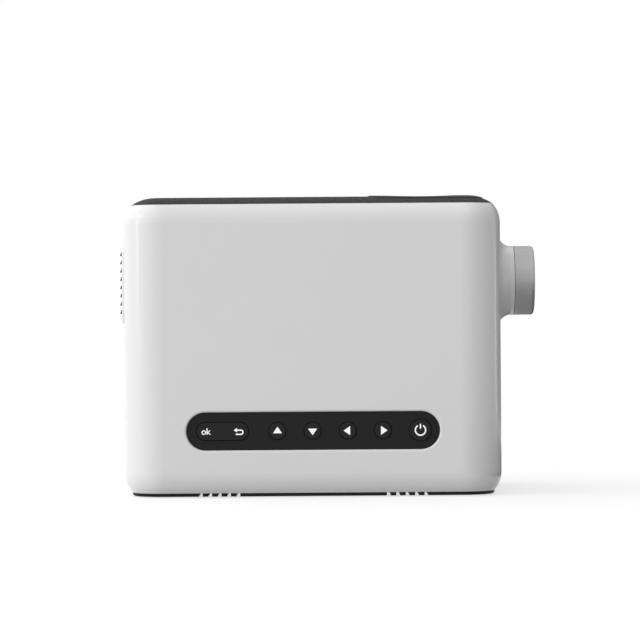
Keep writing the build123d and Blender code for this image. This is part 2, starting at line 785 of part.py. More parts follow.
def light_tunnel(inset):
    """Solid of the light's way: widening from the lamp, straight at the panel, narrowing to the lens."""
    with BuildPart() as tunnel:
        with BuildSketch(across(engine_x0, z=lens_z)):
            Rectangle(46 - inset, 46 - inset)
        with BuildSketch(across(panel_x0, z=lens_z)):
            Rectangle(tunnel_w - inset, tunnel_h - inset)
        loft()
        with BuildSketch(across(panel_x0, z=lens_z)):
            Rectangle(tunnel_w - inset, tunnel_h - inset)
        extrude(amount=panel_x1 - panel_x0)
        with BuildSketch(across(panel_x1, z=lens_z)):
            Rectangle(tunnel_w - inset, tunnel_h - inset)
        with BuildSketch(across(engine_x1, z=lens_z)):
            Rectangle(46 - inset, 46 - inset)
        loft()
    return tunnel


tunnel_outer = light_tunnel(0)
tunnel_inner = light_tunnel(4)

with BuildPart() as engine_housing:
    add(tunnel_outer.part)
    add(tunnel_inner.part, mode=Mode.SUBTRACT)
    # mounting feet along the cradle
    with BuildSketch(deck(cradle_z)):
        with Locations(*engine_spots):
            RectangleRounded(14, 12, 2)
            Circle(board_hole_r, mode=Mode.SUBTRACT)
    extrude(amount=3)

with BuildPart() as collimator_lens:
    with BuildSketch(across(-9, z=lens_z)):
        Rectangle(tunnel_w - 4, tunnel_h - 4)
    extrude(amount=2)

with BuildPart() as lcd_panel:
    with BuildSketch(across(-5, z=lens_z)):
        Rectangle(tunnel_w - 4, tunnel_h - 4)
    extrude(amount=3)
    with BuildSketch(across(-5, z=lens_z)):
        Rectangle(88, 60)
    extrude(amount=0.8, mode=Mode.SUBTRACT)

with BuildPart() as field_lens:
    with BuildSketch(across(0.5, z=lens_z)):
        Rectangle(tunnel_w - 4, tunnel_h - 4)
    extrude(amount=2)

lamp_x = -50.0
with BuildPart() as led_module:
    with BuildSketch(across(lamp_x, z=lens_z)):
        RectangleRounded(46, 46, 2)
    extrude(amount=2)
    with BuildSketch(across(lamp_x + 2, z=lens_z)):
        Rectangle(16, 16)
    extrude(amount=1.4)

condenser_r = 18.0
with BuildPart() as condenser_lens:
    with BuildSketch(lens_half):
        with BuildLine():
            Line((engine_x0 - 0.4, 0), (engine_x0 - 0.4, condenser_r))
            Line((engine_x0 - 0.4, condenser_r), (engine_x0 + 1, condenser_r))
            ThreePointArc(*dome(engine_x0 + 1, condenser_r, 9.0))
            Line((engine_x0 + 10, 0), (engine_x0 - 0.4, 0))
        make_face()
    revolve(axis=lens_axis)
    # square foot that stands on the lamp board, open round the lamp itself
    with BuildSketch(across(lamp_x + 2, z=lens_z)):
        Rectangle(46, 46)
        Rectangle(18, 18, mode=Mode.SUBTRACT)
    extrude(amount=engine_x0 - lamp_x - 2)

with BuildPart() as heat_sink:
    with BuildSketch(across(lamp_x - 4, z=lens_z)):
        Rectangle(56, 56)
    extrude(amount=4)
    with BuildSketch(across(lamp_x - 32, z=lens_z)):
        with GridLocations(4.5, 0, 13, 1):
            Rectangle(1.2, 56)
    extrude(amount=28)

fan_x0 = -98.5
fan_x1 = -83.5
with BuildPart() as fan_frame:
    with BuildSketch(across(fan_x0, z=lens_z)):
        RectangleRounded(60, 60, 4)
        Circle(27.8, mode=Mode.SUBTRACT)
    extrude(amount=fan_x1 - fan_x0)
    # motor cup held by three struts at the outlet side
    with BuildSketch(across(fan_x0, z=lens_z)):
        Circle(11)
        with PolarLocations(19.5, 3, 30):
            Rectangle(18, 2.5)
    extrude(amount=2)
    with BuildSketch(across(fan_x0 + 2, z=lens_z)):
        Circle(1.5)
    extrude(amount=9)
    with BuildSketch(across(fan_x0, z=lens_z)):
        with GridLocations(50, 50, 2, 2):
            Circle(2.1)
    extrude(amount=fan_x1 - fan_x0, mode=Mode.SUBTRACT)

blade_count = 7
hub_r = 11.5
with BuildPart() as fan_rotor:
    with BuildSketch(across(fan_x0 + 2.6, z=lens_z)):
        Circle(hub_r)
    extrude(amount=11.6)
    for i in range(blade_count):
        turn = 2 * math.pi * i / blade_count
        out = (0, math.sin(turn), math.cos(turn))
        root = (body_x + fan_x0 + 8.4, out[1] * (hub_r - 1.5), lens_z + out[2] * (hub_r - 1.5))
        with BuildSketch(Plane(origin=root, x_dir=(1, 0, 0), z_dir=out)):
            with BuildLine():
                ThreePointArc((-5.0, -4.6), (0.9, -0.9), (5.0, 4.6))
                Line((5.0, 4.6), (3.9, 4.6))
                ThreePointArc((3.9, 4.6), (-0.1, -0.1), (-5.0, -3.4))
                Line((-5.0, -3.4), (-5.0, -4.6))
            make_face()
        extrude(amount=16.6)
    with BuildSketch(across(fan_x0 + 2, z=lens_z)):
        Circle(1.5 + run_gap)
    extrude(amount=9.6, mode=Mode.SUBTRACT)

with BuildPart() as engine_cradle:
    with BuildSketch(deck(cradle_z - 2)):
        with Locations((-6, 0)):
            RectangleRounded(184, 124, 8)
        with Locations((10, 0)):
            RectangleRounded(100, 60, 6, mode=Mode.SUBTRACT)
    extrude(amount=2)
    with BuildSketch(deck(drive_z0)):
        with GridLocations(150, 100, 2, 2):
            Circle(4)
    extrude(amount=cradle_z - 2 - drive_z0)
    # saddles under the lamp, the fan and the lens flange
    with BuildSketch(deck(cradle_z, x=(fan_x0 + fan_x1) / 2)):
        Rectangle(fan_x1 - fan_x0, 56)
    extrude(amount=lens_z - 30 - cradle_z)
    with BuildSketch(deck(cradle_z, x=lamp_x - 2)):
        Rectangle(4, 52)
    extrude(amount=lens_z - 28 - cradle_z)
    with BuildSketch(deck(cradle_z, x=85.5)):
        Rectangle(3, 56)
    extrude(amount=lens_z - 30 - cradle_z)

# ---- boards, sound and sockets ---------------------------------------------------------
with BuildPart() as main_board:
    with BuildSketch(deck(board_z, x=-54, y=19)):
        RectangleRounded(90, 62, 2)
    extrude(amount=pcb)
    with BuildSketch(deck(board_z)):
        with Locations(*board_spots[:4]):
            Circle(board_hole_r)
    extrude(amount=pcb, mode=Mode.SUBTRACT)
    # processor with its finned cooler, memory and capacitors
    with BuildSketch(deck(board_z + pcb, x=-54, y=19)):
        with Locations((4, 8)):
            Rectangle(24, 24)
    extrude(amount=3)
    with BuildSketch(deck(board_z + pcb + 3, x=-50, y=27)):
        with GridLocations(3, 0, 8, 1):
            Rectangle(1.2, 24)
    extrude(amount=6)
    with BuildSketch(deck(board_z + pcb, x=-54, y=19)):
        with Locations((30, 14), (30, -4)):
            Rectangle(13, 9)
    extrude(amount=1.2)
    with BuildSketch(deck(board_z + pcb, x=-54, y=19)):
        with GridLocations(9, 0, 5, 1):
            with Locations((10, -24)):
                Circle(3.1)
    extrude(amount=9)

with BuildPart() as power_board:
    with BuildSketch(deck(board_z, x=51, y=19)):
        RectangleRounded(78, 62, 2)
    extrude(amount=pcb)
    with BuildSketch(deck(board_z)):
        with Locations(*board_spots[4:]):
            Circle(board_hole_r)
    extrude(amount=pcb, mode=Mode.SUBTRACT)
    # transformer, mains capacitor and the row of smoothing capacitors
    with BuildSketch(deck(board_z + pcb, x=51, y=19)):
        with Locations((-8, 6)):
            RectangleRounded(26, 22, 2)
    extrude(amount=20)
    with BuildSketch(deck(board_z + pcb, x=51, y=19)):
        with Locations((22, 8)):
            Circle(9)
    extrude(amount=22)
    with BuildSketch(deck(board_z + pcb, x=51, y=19)):
        with GridLocations(12, 0, 4, 1):
            with Locations((0, -20)):
                Circle(4)
    extrude(amount=14)

with BuildPart() as speakers:
    for x in (-speaker_x, speaker_x):
        with BuildSketch(deck(plug_z, x=x, y=speaker_y)):
            Circle(20)
            Circle(16.5, mode=Mode.SUBTRACT)
        extrude(amount=2)
        with BuildSketch(deck(plug_z + 2, x=x, y=speaker_y)):
            Circle(18.5)
        with BuildSketch(deck(plug_z + 9, x=x, y=speaker_y)):
            Circle(11)
        loft()
        with BuildSketch(deck(plug_z + 9, x=x, y=speaker_y)):
            Circle(12)
        extrude(amount=5)

plate_face = -(length / 2 - 0.8)
plate_mid = -(length / 2 - wall)
video_y = -8.0
data_y = 13.0
jack_y = (30.0, 41.0)
inlet_y = -36.0
video_z = board_z + pcb + 2.9
data_z = board_z + pcb + 3.6
jack_z = board_z + pcb + 3.5
inlet_z = port_z

with BuildPart() as port_plate:
    with BuildSketch(across(plate_face, z=port_z)):
        RectangleRounded(port_w, port_h, 4)
    extrude(amount=plate_mid - plate_face)
    with BuildSketch(across(plate_mid, z=port_z)):
        RectangleRounded(port_w + 2, port_h + 2, 5)
    extrude(amount=1.5)
    with BuildSketch(across(plate_face, z=0)):
        with Locations((video_y, video_z)):
            Rectangle(15.2, 5.8)
        with Locations((data_y, data_z)):
            Rectangle(14.6, 7.2)
        with Locations((jack_y[0], jack_z), (jack_y[1], jack_z)):
            Circle(3.1)
        with Locations((inlet_y, inlet_z)):
            SlotOverall(21, 12.6)
    extrude(amount=4, mode=Mode.SUBTRACT)

socket_face = plate_face + 0.2
with BuildPart() as video_socket:
    with BuildSketch(across(socket_face, z=0)):
        with Locations((video_y, video_z)):
            Rectangle(15.2, 5.8)
    extrude(amount=12)
    with BuildSketch(across(socket_face, y=video_y, z=video_z)):
        with BuildLine():
            Polyline((-7, 2.25), (7, 2.25), (7, -0.6), (5.4, -2.25), (-5.4, -2.25), (-7, -0.6), close=True)
        make_face()
        with Locations((0, 0.4)):
            Rectangle(11, 1.0, mode=Mode.SUBTRACT)
    extrude(amount=9, mode=Mode.SUBTRACT)

with BuildPart() as data_socket:
    with BuildSketch(across(socket_face, z=0)):
        with Locations((data_y, data_z)):
            Rectangle(14.6, 7.2)
    extrude(amount=14)
    with BuildSketch(across(socket_face, y=data_y, z=data_z)):
        Rectangle(12.6, 5.2)
        with Locations((0, 1.1)):
            Rectangle(11, 1.8, mode=Mode.SUBTRACT)
    extrude(amount=11, mode=Mode.SUBTRACT)

with BuildPart() as audio_jacks:
    for y in jack_y:
        with BuildSketch(across(socket_face, y=y, z=jack_z)):
            Circle(3.1)
        extrude(amount=plate_mid + 1.5 - socket_face)
        with BuildSketch(across(plate_mid + 1.5, y=y, z=jack_z)):
            Rectangle(9, 7)
        extrude(amount=11)
        with BuildSketch(across(socket_face, y=y, z=jack_z)):
            Circle(1.8)
        extrude(amount=12, mode=Mode.SUBTRACT)

with BuildPart() as power_inlet:
    with BuildSketch(across(socket_face, y=inlet_y, z=inlet_z)):
        SlotOverall(21, 12.6)
    extrude(amount=plate_mid + 1.5 - socket_face)
    with BuildSketch(across(plate_mid + 1.5, y=inlet_y, z=inlet_z)):
        RectangleRounded(24, 16, 2)
    extrude(amount=14)
    # cavity for a two-pin figure-eight plug
    with BuildSketch(across(socket_face, y=inlet_y, z=inlet_z)):
        SlotOverall(17.2, 8.6)
        with GridLocations(8.6, 0, 2, 1):
            Circle(1.2, mode=Mode.SUBTRACT)
    extrude(amount=12, mode=Mode.SUBTRACT)
    # the plug pins end a little below the mouth
    with BuildSketch(across(socket_face, y=inlet_y, z=inlet_z)):
        with GridLocations(8.6, 0, 2, 1):
            Circle(1.3)
    extrude(amount=3, mode=Mode.SUBTRACT)

with BuildPart() as ir_window:
    with BuildSketch(across(length / 2 - wall - 1, y=receiver_y, z=receiver_z)):
        Circle(receiver_r)
    extrude(amount=wall + 0.7)
    with BuildSketch(across(length / 2 - wall - 1, y=receiver_y, z=receiver_z)):
        Circle(receiver_r + 1.5)
    extrude(amount=1)

# ---- fasteners inside ------------------------------------------------------------------
fan_screws = pan_screws([(sy * 25, sz * 25) for sy in (-1, 1) for sz in (-1, 1)], 2.8, 1.4, 2.1, 14,
                        across(fan_x1, z=lens_z))
board_screws = pan_screws(board_spots, 2.6, 1.4, board_hole_r, pcb, deck(board_z + pcb))
engine_screws = pan_screws(engine_spots, 2.6, 1.4, board_hole_r, 3, deck(cradle_z + 3))
under_deck = Plane(origin=(body_x, 0, drive_z0 - mid_deck_t), x_dir=(1, 0, 0), z_dir=(0, 0, -1))
drive_screws = pan_screws(drive_screw_spots, 2.0, 1.0, drive_screw_r, mid_deck_t + sheet, under_deck)

# ---- labels and files ------------------------------------------------------------------
pieces = {
    "main_shell": main_shell,
    "top_cover": top_cover,
    "top_inlay": top_inlay,
    "base_plate": base_plate,
    "rubber_feet": rubber_feet,
    "tripod_insert": tripod_insert,
    "base_screws": base_screws,
    "rear_louvre": rear_louvre,
    "dust_filter": dust_filter,
    "control_panel": control_panel,
    "key_ok_back": key_ok_back,
    "key_switches": key_switches,
    "key_board": key_board,
    "mid_deck": mid_deck,
    "drive_case": drive_case,
    "slide_rails": slide_rails,
    "disc_tray": disc_tray,
    "guide_rods": guide_rods,
    "spindle_motor": spindle_motor,
    "turntable": turntable,
    "pickup_sled": pickup_sled,
    "pickup_lens": pickup_lens,
    "lead_screw": lead_screw,
    "sled_motor": sled_motor,
    "tray_bezel": tray_bezel,
    "eject_button": eject_button,
    "focus_ring": focus_ring,
    "lens_mount": lens_mount,
    "lens_barrel": lens_barrel,
    "front_lens": front_lens,
    "rear_lens": rear_lens,
    "engine_housing": engine_housing,
    "collimator_lens": collimator_lens,
    "lcd_panel": lcd_panel,
    "field_lens": field_lens,
    "led_module": led_module,
    "condenser_lens": condenser_lens,
    "heat_sink": heat_sink,
    "fan_frame": fan_frame,
    "fan_rotor": fan_rotor,
    "engine_cradle": engine_cradle,
    "main_board": main_board,
    "power_board": power_board,
    "speakers": speakers,
    "port_plate": port_plate,
    "video_socket": video_socket,
    "data_socket": data_socket,
    "audio_jacks": audio_jacks,
    "power_inlet": power_inlet,
    "ir_window": ir_window,
    "fan_screws": fan_screws,
    "board_screws": board_screws,
    "engine_screws": engine_screws,
    "drive_screws": drive_screws,
}
pieces.update(keys)

for name, piece in pieces.items():
    piece.part.label = name
    export_step(piece.part, f"parts/{name}.step")
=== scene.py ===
import math

import bmesh
import bpy
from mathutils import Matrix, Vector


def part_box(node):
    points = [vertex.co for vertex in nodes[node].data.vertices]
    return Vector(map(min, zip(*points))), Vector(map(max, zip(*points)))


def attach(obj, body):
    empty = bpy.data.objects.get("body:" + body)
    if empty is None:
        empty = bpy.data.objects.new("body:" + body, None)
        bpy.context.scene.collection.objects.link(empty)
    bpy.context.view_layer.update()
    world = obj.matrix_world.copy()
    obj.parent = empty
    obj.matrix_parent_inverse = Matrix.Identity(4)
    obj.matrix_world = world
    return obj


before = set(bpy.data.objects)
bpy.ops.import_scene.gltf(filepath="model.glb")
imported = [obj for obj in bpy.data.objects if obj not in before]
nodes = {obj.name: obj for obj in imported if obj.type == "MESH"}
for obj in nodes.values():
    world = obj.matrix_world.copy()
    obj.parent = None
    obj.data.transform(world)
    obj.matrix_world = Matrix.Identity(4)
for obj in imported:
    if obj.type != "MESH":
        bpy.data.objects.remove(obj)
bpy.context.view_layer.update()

# ---- Main shell ------------------------------------------------------------------------
# One injection-moulded sleeve in glossy white plastic, with the lens collar, the edge of
# the key panel and the rear vent's frame moulded in. The mould is polished, so the skin
# has only a faint waviness.


class Flow:
    """A value that flows between a finish's nodes. Operators on it add Math nodes."""

    def __init__(self, tree, socket=None):
        self.tree = tree
        self.socket = socket

    def node(self, kind, settings=None, inputs=None, output=0):
        """Adds a node: settings first, then its sockets' values or links. Gives one output."""
        made = self.tree.nodes.new(kind)
        for name, value in (settings or {}).items():
            setattr(made, name, value)
        for name, value in (inputs or {}).items():
            if isinstance(value, Flow):
                self.tree.links.new(value.socket, made.inputs[name])
            else:
                made.inputs[name].default_value = value
        return Flow(self.tree, made.outputs[output]) if made.outputs else None

    def maths(self, operation, *values):
        return self.node("ShaderNodeMath", {"operation": operation}, dict(enumerate(values)))

    def __add__(self, other):
        return self.maths("ADD", self, other)

    def __radd__(self, other):
        return self.maths("ADD", other, self)

    def __sub__(self, other):
        return self.maths("SUBTRACT", self, other)

    def __rsub__(self, other):
        return self.maths("SUBTRACT", other, self)

    def __mul__(self, other):
        return self.maths("MULTIPLY", self, other)

    def __rmul__(self, other):
        return self.maths("MULTIPLY", other, self)

    def __gt__(self, other):
        return self.maths("GREATER_THAN", self, other)

    def __lt__(self, other):
        return self.maths("LESS_THAN", self, other)


def start_finish(name):
    """A new material with no nodes, and the flow that its nodes are added to."""
    material = bpy.data.materials.new(name)
    material.use_nodes = True
    material.node_tree.nodes.clear()
    return material, Flow(material.node_tree)


def place(flow):
    """The point on the surface in the object's own coordinates, in metres."""
    return flow.node("ShaderNodeTexCoord", output="Object")


def noise(flow, scale, detail=2.0):
    """Noise from 0 to 1 over the surface, with this many waves to the metre."""
    return flow.node("ShaderNodeTexNoise", None, {"Vector": place(flow), "Scale": scale, "Detail": detail})


def tint(flow, amount, first, second):
    """A colour that goes from the first to the second as the amount goes from 0 to 1."""
    colours = [c if isinstance(c, Flow) else (*c, 1.0) for c in (first, second)]
    return flow.node("ShaderNodeMix", {"data_type": "RGBA"}, {0: amount, 6: colours[0], 7: colours[1]}, 2)


def bump(flow, height, depth):
    """Normals of a relief whose height goes from 0 to 1 over this depth in metres."""
    return flow.node("ShaderNodeBump", None, {"Distance": depth, "Height": height})


def close_finish(flow, **sockets):
    """Ends a finish in one shader with these sockets."""
    inputs = {name.replace("_", " "): value for name, value in sockets.items()}
    shader = flow.node("ShaderNodeBsdfPrincipled", None, inputs)
    flow.node("ShaderNodeOutputMaterial", None, {"Surface": shader})


def dress(material, *names):
    """Puts a material on CAD nodes."""
    for name in names:
        for slot in nodes[name].material_slots:
            slot.material = material


def glossy_white(name, white):
    material, flow = start_finish(name)
    mottle = noise(flow, 45, 3)
    grain = noise(flow, 2600)
    dull = (white - 0.012, white - 0.012, white - 0.006)
    clean = (white, white, white + 0.008)
    close_finish(
        flow,
        Base_Color=tint(flow, mottle, dull, clean),
        Roughness=mottle * 0.04 + grain * 0.03 + 0.2,
        Coat_Weight=0.25,
        Coat_Roughness=0.05,
        Normal=bump(flow, noise(flow, 110) * 0.9 + grain * 0.1, 0.00002),
    )
    return material


shell_white = glossy_white("shell_white", 0.80)
dress(shell_white, "main_shell")

# ---- Collar flare ----------------------------------------------------------------------
# The shell's end sweeps out into the lens collar in a wide hollow curve. A ring round the
# collar's foot carries that curve, and its inner side lies inside the wall.
flare_long = 0.0085      # along the lens axis
flare_wide = 0.012       # outwards from the collar's side
flare_power = 1.8        # 2 would be an ellipse, and 1 a straight slope
collar_r = 0.01975
collar_long = 0.0104     # from the shell's end face to the collar's rim
flare_bite = 0.00001     # both ends of the curve lie this far under the skin
flare_core = 0.001       # the ring's plain inner part reaches this far into the wall
flare_steps = 16         # straight pieces along the curve
flare_round = 128        # and round the ring
same_spot = 0.000001     # vertices this close together are one


def middle(node):
    """The centre of a node's box, as X, Y and Z."""
    return [(low + high) / 2 for low, high in zip(*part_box(node))]


def pull(x=0.0, y=0.0, z=0.0):
    """In edit mode: extrudes what is selected by this much."""
    bpy.ops.mesh.extrude_region_move(TRANSFORM_OT_translate={"value": (x, y, z)})


def stretch(x, y, about=(0, 0, 0)):
    """In edit mode: scales what is selected along X and Y, about a point."""
    bpy.ops.transform.resize(value=(x, y, 1), center_override=about)


def settle(piece, body, material):
    """Gives a finished piece its material, its body, and its place in its own mesh."""
    bpy.ops.object.select_all(action="DESELECT")
    piece.select_set(True)
    bpy.context.view_layer.objects.active = piece
    bpy.ops.object.transform_apply(location=True, rotation=True, scale=True)
    piece.data.materials.clear()
    piece.data.materials.append(material)
    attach(piece, body)


curve = []
for step in range(flare_steps + 1):
    turn = math.pi / 2 * step / flare_steps
    curve.append((flare_long * (1 - max(math.cos(turn), 0) ** (2 / flare_power)) - flare_bite,
                  collar_r + flare_wide * (1 - math.sin(turn) ** (2 / flare_power)) - flare_bite))
curve += [(flare_long, collar_r - flare_core), (-flare_core, collar_r - flare_core),
          (-flare_core, collar_r + flare_wide), curve[0]]
bpy.ops.object.select_all(action="DESELECT")
bpy.ops.mesh.primitive_circle_add(vertices=flare_round, radius=curve[0][1], fill_type="NOTHING")
flare = bpy.context.object
flare.name = "collar_flare"
bpy.ops.object.mode_set(mode="EDIT")
bpy.ops.mesh.select_all(action="SELECT")
for here, there in zip(curve, curve[1:]):
    pull(z=there[0] - here[0])
    stretch(there[1] / here[1], there[1] / here[1])
bpy.ops.mesh.select_all(action="SELECT")
bpy.ops.mesh.remove_doubles(threshold=same_spot)
bpy.ops.mesh.normals_make_consistent(inside=False)
bpy.ops.object.mode_set(mode="OBJECT")
end_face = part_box("main_shell")[1].x - collar_long
lens_axis = middle("focus_ring")[1:]
flare.rotation_euler = (0, math.pi / 2, 0)
flare.location = (end_face + curve[0][0], *lens_axis)
settle(flare, "housing", shell_white)
bpy.ops.object.shade_smooth_by_angle(angle=math.radians(30))

# ---- Top cover -------------------------------------------------------------------------
# Black moulded cover, etched all over with a fine pebble grain. Each pebble's crown is painted
# lighter in random patches, a painted highlight that gives a dark grey speckle. It drops into
# the shell's upper rim.


def pebbled_black(name, pebble, low, high):
    material, flow = start_finish(name)
    cells = {"Vector": place(flow), "Scale": 1 / pebble, "Randomness": 0.8, "Smoothness": 0.4}
    dome = 1 - flow.node("ShaderNodeTexVoronoi", {"feature": "SMOOTH_F1"}, cells)
    patch = noise(flow, 0.9 / pebble, 3)
    close_finish(
        flow,
        # Painted highlight: the colour is lighter on each pebble's crown, in random patches.
        Base_Color=tint(flow, dome * patch * 1.6, (low,) * 3, (high,) * 3),
        Roughness=0.66 - dome * 0.12 + patch * 0.1,
        Specular_IOR_Level=0.3,
        Normal=bump(flow, dome, pebble * 0.35),
    )
    return material


dress(pebbled_black("cover_pebble", 0.0008, 0.006, 0.06), "top_cover")

# ---- Top inlay -------------------------------------------------------------------------
# Smooth black plate with a shallow dish, glued into the front of the cover. Its mould is
# spark-eroded very finely, which gives a satin sheen.


def satin_black(name, grey, rough, grain_scale=3800, grain_depth=0.00001, gloss=0.5):
    material, flow = start_finish(name)
    grain = noise(flow, grain_scale)
    wipe = noise(flow, 35, 3)
    close_finish(
        flow,
        Base_Color=tint(flow, grain, (grey * 0.8,) * 3, (grey * 1.2,) * 3),
        Roughness=wipe * 0.08 + grain * 0.06 + rough,
        Specular_IOR_Level=gloss,
        Normal=bump(flow, grain, grain_depth),
    )
    return material


dress(satin_black("inlay_satin", 0.008, 0.38, gloss=0.3), "top_inlay")

# ---- Base plate, feet, screws and tripod insert ----------------------------------------
# The bottom is grained black plastic with sound slots. Soft rubber feet are glued into
# round seats, four plated screws hold the plate, and a brass insert takes a camera screw.
dress(satin_black("base_grain", 0.006, 0.55, 1900, 0.00004, 0.2), "base_plate")


def rubber(name, grey):
    material, flow = start_finish(name)
    grain = noise(flow, 5200, 3)
    dust = noise(flow, 240, 4)
    close_finish(
        flow,
        Base_Color=tint(flow, dust, (grey,) * 3, (grey * 1.9, grey * 1.85, grey * 1.8)),
        Roughness=grain * 0.1 + 0.72,
        Normal=bump(flow, grain, 0.00003),
    )
    return material


def turned_metal(name, colour, rough, lines_axis="Z", lines=900):
    """Machined or plated metal: fine tool lines across one axis, and small stains."""
    material, flow = start_finish(name)
    tool = flow.node("ShaderNodeTexWave", {"bands_direction": lines_axis},
                     {"Vector": place(flow), "Scale": lines, "Distortion": 1.5, "Detail": 2.0}, 1)
    stain = noise(flow, 420, 4)
    close_finish(
        flow,
        Base_Color=tint(flow, stain, [c * 0.78 for c in colour], colour),
        Metallic=1.0,
        Roughness=stain * 0.14 + tool * 0.06 + rough,
        Normal=bump(flow, tool, 0.000006),
    )
    return material


dress(rubber("foot_rubber", 0.018), "rubber_feet")
dress(turned_metal("screw_plate", (0.56, 0.56, 0.58), 0.26), "base_screws", "fan_screws", "board_screws",
      "engine_screws", "drive_screws")
dress(turned_metal("insert_brass", (0.78, 0.58, 0.27), 0.26, lines=1400), "tripod_insert")

# ---- Rear vent -------------------------------------------------------------------------
# Black louvre with eight slats, clipped into the shell's frame, and behind it an
# open-cell foam filter against dust.
dress(satin_black("louvre_black", 0.012, 0.42), "rear_louvre")


def foam(name):
    material, flow = start_finish(name)
    cells = {"Vector": place(flow), "Scale": 900}
    strand = flow.node("ShaderNodeTexVoronoi", {"feature": "DISTANCE_TO_EDGE"}, cells) < 0.14
    close_finish(
        flow,
        # Painted shade: the pores between the strands are painted near-black, as shade in the holes.
        Base_Color=tint(flow, strand, (0.002, 0.002, 0.002), (0.035, 0.035, 0.035)),
        Roughness=strand * 0.1 + 0.85,
        Normal=bump(flow, strand, 0.0003),
    )
    return material


dress(foam("filter_foam"), "dust_filter")

# ---- Key panel and keys ----------------------------------------------------------------
# A matt black strip lies in the shell's rounded opening. Each key stands a hair proud of
# it, in a groove of its own.
dress(satin_black("panel_black", 0.011, 0.45, 4600, 0.000012, 0.18), "control_panel")
key_names = ("key_ok_back", "key_up", "key_down", "key_left", "key_right", "key_power")
dress(satin_black("key_black", 0.012, 0.38, 4600, 0.00001, 0.2), *key_names)

# ---- Key symbols -----------------------------------------------------------------------
# White printed marks: ok and a return arrow on the rocker, four triangles, and the on-off
# sign. Each is a thin film of white ink with a faint painted glow; it lies on its key and moves with it.
ink_film = 0.00006
ink_bite = 0.00002       # the film starts this far inside the key's face


def ink(name):
    material, flow = start_finish(name)
    grain = noise(flow, 5200)
    close_finish(
        flow,
        Base_Color=tint(flow, grain, (0.84, 0.84, 0.84), (0.92, 0.92, 0.92)),
        Roughness=grain * 0.1 + 0.45,
        # Painted glow: the ink glows faintly, though it is no lamp.
        Emission_Color=(1.0, 1.0, 1.0, 1.0),
        Emission_Strength=0.28,
        Normal=bump(flow, grain, 0.000006),
    )
    return material


ink_white_painted_glow = ink("ink_white_painted_glow")


def pick(test):
    """In edit mode: selects the vertices that pass a test of their place, and nothing else."""
    bpy.ops.mesh.select_all(action="DESELECT")
    shape = bmesh.from_edit_mesh(bpy.context.object.data)
    for vertex in shape.verts:
        vertex.select = test(vertex.co)
    shape.select_flush(True)
    bmesh.update_edit_mesh(bpy.context.object.data)


def print_mark(mark, key, shift=(0.0, 0.0), turn=0.0):
    """Thickens a flat mark, open in edit mode, and lays it on a key, turned clockwise."""
    bpy.ops.mesh.select_all(action="SELECT")
    pull(z=ink_film)
    bpy.ops.mesh.select_all(action="SELECT")
    bpy.ops.mesh.normals_make_consistent(inside=False)
    bpy.ops.object.mode_set(mode="OBJECT")
    centre = middle(key)
    mark.rotation_euler = (math.pi / 2, turn, 0)
    mark.location = (centre[0] + shift[0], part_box(key)[0].y + ink_bite, centre[2] + shift[1])
    settle(mark, key, ink_white_painted_glow)


arrow_base = 0.0050
arrow_height = 0.0036
arrow_corner = 0.00016


def triangle_mark(name, key, turn):
    """A triangle, drawn in a circle of radius 1 and brought to its base and height."""
    bpy.ops.object.select_all(action="DESELECT")
    bpy.ops.mesh.primitive_circle_add(vertices=3, radius=1.0, fill_type="NGON")
    mark = bpy.context.object
    mark.name = name
    bpy.ops.object.mode_set(mode="EDIT")
    stretch(arrow_base / math.sqrt(3), arrow_height / 1.5)
    bpy.ops.mesh.bevel(offset=arrow_corner, segments=3, affect="VERTICES")
    print_mark(mark, key, turn=turn)


triangle_mark("mark_up", "key_up", 0)
triangle_mark("mark_down", "key_down", math.pi)
triangle_mark("mark_left", "key_left", -math.pi / 2)
triangle_mark("mark_right", "key_right", math.pi / 2)

# The on-off sign is an open ring with an upright bar in its gap.
sign_r = 0.0032
sign_line = 0.00075
sign_gap = math.radians(30)      # to each side of the bar
bar_low = 0.0007
bar_high = 0.0035
bar_middle = (0, (bar_low + bar_high) / 2, 0)
bar_corner = 0.0002
bpy.ops.object.select_all(action="DESELECT")
bpy.ops.mesh.primitive_circle_add(vertices=72, radius=sign_r, fill_type="NOTHING")
sign = bpy.context.object
sign.name = "mark_power"
bpy.ops.object.mode_set(mode="EDIT")
pick(lambda spot: abs(math.atan2(spot.x, spot.y)) < sign_gap)
bpy.ops.mesh.delete(type="VERT")
bpy.ops.mesh.select_all(action="SELECT")
pull()
stretch(1 - sign_line / sign_r, 1 - sign_line / sign_r)
bpy.ops.mesh.select_all(action="DESELECT")
bpy.ops.mesh.primitive_plane_add(size=1.0, location=bar_middle)
stretch(sign_line, bar_high - bar_low, bar_middle)
bpy.ops.mesh.bevel(offset=bar_corner, segments=3, affect="VERTICES")
print_mark(sign, "key_power")

# The word near the rocker's left end.
rocker_half = (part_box("key_ok_back")[1].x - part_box("key_ok_back")[0].x) / 2
word_size = 0.0050
word_bold = 0.00008
word_in = 0.0051         # from the rocker's end to the word's middle
word_drop = 0.0002
bpy.ops.object.select_all(action="DESELECT")
bpy.ops.object.text_add()
word = bpy.context.object
word.name = "mark_ok"
word.data.body = "ok"
word.data.size = word_size
word.data.align_x = "CENTER"
word.data.align_y = "CENTER"
word.data.space_character = 0.95
word.data.offset = word_bold
word.data.fill_mode = "FRONT"
bpy.ops.object.convert(target="MESH")
bpy.ops.object.mode_set(mode="EDIT")
print_mark(word, "key_ok_back", shift=(word_in - rocker_half, -word_drop))

